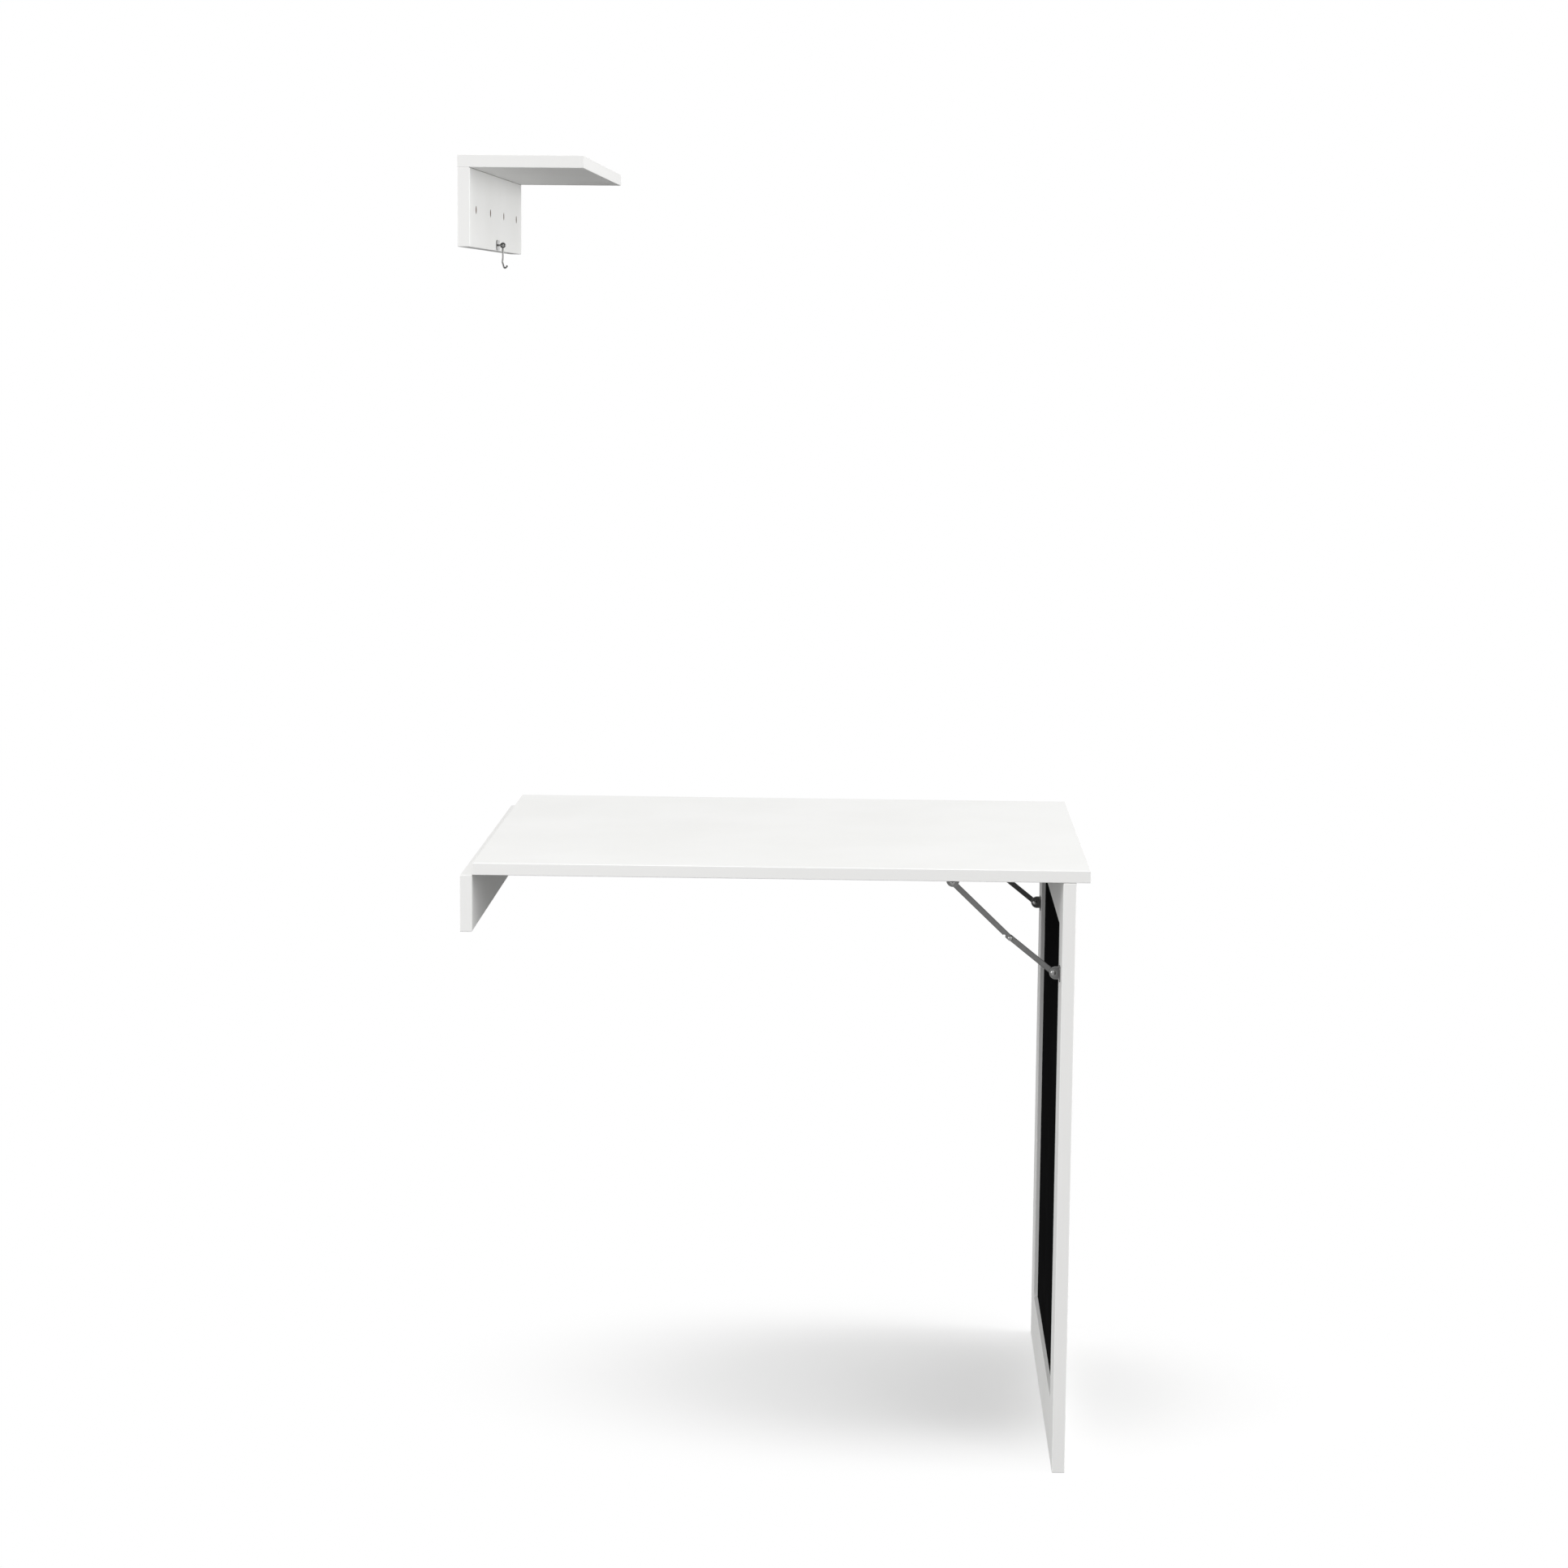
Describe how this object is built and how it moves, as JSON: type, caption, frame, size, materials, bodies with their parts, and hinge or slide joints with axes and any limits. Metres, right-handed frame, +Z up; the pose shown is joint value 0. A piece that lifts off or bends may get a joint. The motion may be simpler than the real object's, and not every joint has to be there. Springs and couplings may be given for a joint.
{
  "type": "wall mounted drop leaf table",
  "caption": "Wall mounted drop leaf table: a top that folds up to the wall, with a framed swing leg, folding stays, and a shelf panel with a hook latch above.",
  "frame": {"origin": "centre of the wall bracket's back face, in the wall's plane, half way along the bracket; the floor is 705 mm below it", "axes": "+X out of the wall into the room, +Y along the wall, +Z up"},
  "size_m": [0.7656, 0.6, 1.6038],
  "materials": {
    "white_board": "white melamine faced chipboard, satin, with rounded edge band",
    "black_panel": "black lacquered hardboard, matt, as a writing board",
    "dark_steel": "pressed steel, dark grey zinc plating, satin",
    "bright_steel": "nickel plated steel, bright",
    "dowel_wood": "plain beech",
    "white_cap": "white moulded plastic"
  },
  "bodies": {
    "wall_unit": {"upper_panel": "white_board", "shelf": "white_board", "shelf_dowels": "dowel_wood", "shelf_screws": "bright_steel", "shelf_screw_caps": "white_cap", "latch_plate": "bright_steel", "latch_plate_screws": "bright_steel", "wall_bracket": "white_board", "wall_hinge_fixed_leaf_1": "bright_steel", "wall_hinge_fixed_leaf_2": "bright_steel", "wall_hinge_fixed_leaf_3": "bright_steel", "wall_hinge_pin_1": "bright_steel", "wall_hinge_pin_2": "bright_steel", "wall_hinge_pin_3": "bright_steel", "wall_hinge_fixed_screws": "bright_steel"},
    "table_top": {"table_top": "white_board", "wall_hinge_top_leaf_1": "bright_steel", "wall_hinge_top_leaf_2": "bright_steel", "wall_hinge_top_leaf_3": "bright_steel", "wall_hinge_top_screws": "bright_steel", "leg_hinge_cranked_leaf_1": "bright_steel", "leg_hinge_cranked_leaf_2": "bright_steel", "leg_hinge_pin_1": "bright_steel", "leg_hinge_pin_2": "bright_steel", "leg_hinge_top_screws": "bright_steel", "stay_top_bracket_near": "dark_steel", "stay_top_bracket_far": "dark_steel", "stay_top_rivet_near": "bright_steel", "stay_top_rivet_far": "bright_steel", "stay_top_screws": "bright_steel", "catch_plate": "bright_steel", "catch_plate_screws": "bright_steel"},
    "leg": {"leg_stile_near": "white_board", "leg_stile_far": "white_board", "leg_top_rail": "white_board", "leg_bottom_rail": "white_board", "leg_panel": "black_panel", "leg_dowels": "dowel_wood", "leg_hinge_leg_leaf_1": "bright_steel", "leg_hinge_leg_leaf_2": "bright_steel", "leg_hinge_leg_screws": "bright_steel", "stay_leg_bracket_near": "dark_steel", "stay_leg_bracket_far": "dark_steel", "stay_leg_rivet_near": "bright_steel", "stay_leg_rivet_far": "bright_steel", "stay_leg_screws": "bright_steel"},
    "hook": {"hook": "bright_steel"},
    "upper_arm_near": {"upper_arm_near": "dark_steel", "elbow_rivet_near": "bright_steel"},
    "lower_arm_near": {"lower_arm_near": "dark_steel", "elbow_rivet_tail_near": "bright_steel"},
    "upper_arm_far": {"upper_arm_far": "dark_steel", "elbow_rivet_far": "bright_steel"},
    "lower_arm_far": {"lower_arm_far": "dark_steel", "elbow_rivet_tail_far": "bright_steel"}
  },
  "joints": [
    {"name": "table_fold", "type": "hinge", "parent": "wall_unit", "child": "table_top", "pos_m": [0.0153, 0, 0.035], "axis": [0, -1, 0], "range_deg": [0, 90]},
    {"name": "leg_fold", "type": "hinge", "parent": "table_top", "child": "leg", "pos_m": [0.7326, 0, 0.0194], "axis": [0, 1, 0], "range_deg": [0, 90]},
    {"name": "hook_swing", "type": "hinge", "parent": "wall_unit", "child": "hook", "pos_m": [0.022, 0, 0.7963], "axis": [0, -1, 0], "range_deg": [0, 120]},
    {"name": "upper_arm_near_turn", "type": "hinge", "parent": "table_top", "child": "upper_arm_near", "pos_m": [0.5996, -0.26, 0.0272], "axis": [0, -1, 0], "range_deg": [0, 43.7]},
    {"name": "lower_arm_near_turn", "type": "hinge", "parent": "leg", "child": "lower_arm_near", "pos_m": [0.7248, -0.254, -0.084], "axis": [0, 1, 0], "range_deg": [0, 51.4]},
    {"name": "upper_arm_far_turn", "type": "hinge", "parent": "table_top", "child": "upper_arm_far", "pos_m": [0.5996, 0.254, 0.0272], "axis": [0, -1, 0], "range_deg": [0, 43.7]},
    {"name": "lower_arm_far_turn", "type": "hinge", "parent": "leg", "child": "lower_arm_far", "pos_m": [0.7248, 0.26, -0.084], "axis": [0, 1, 0], "range_deg": [0, 51.4]}
  ],
  "couplings": [
    {"joint": "leg_fold", "follows": "table_fold", "ratio": 1},
    {"joint": "upper_arm_near_turn", "follows": "table_fold", "ratio": 0.48521},
    {"joint": "lower_arm_near_turn", "follows": "table_fold", "ratio": 0.57034},
    {"joint": "upper_arm_far_turn", "follows": "table_fold", "ratio": 0.48521},
    {"joint": "lower_arm_far_turn", "follows": "table_fold", "ratio": 0.57034}
  ]
}
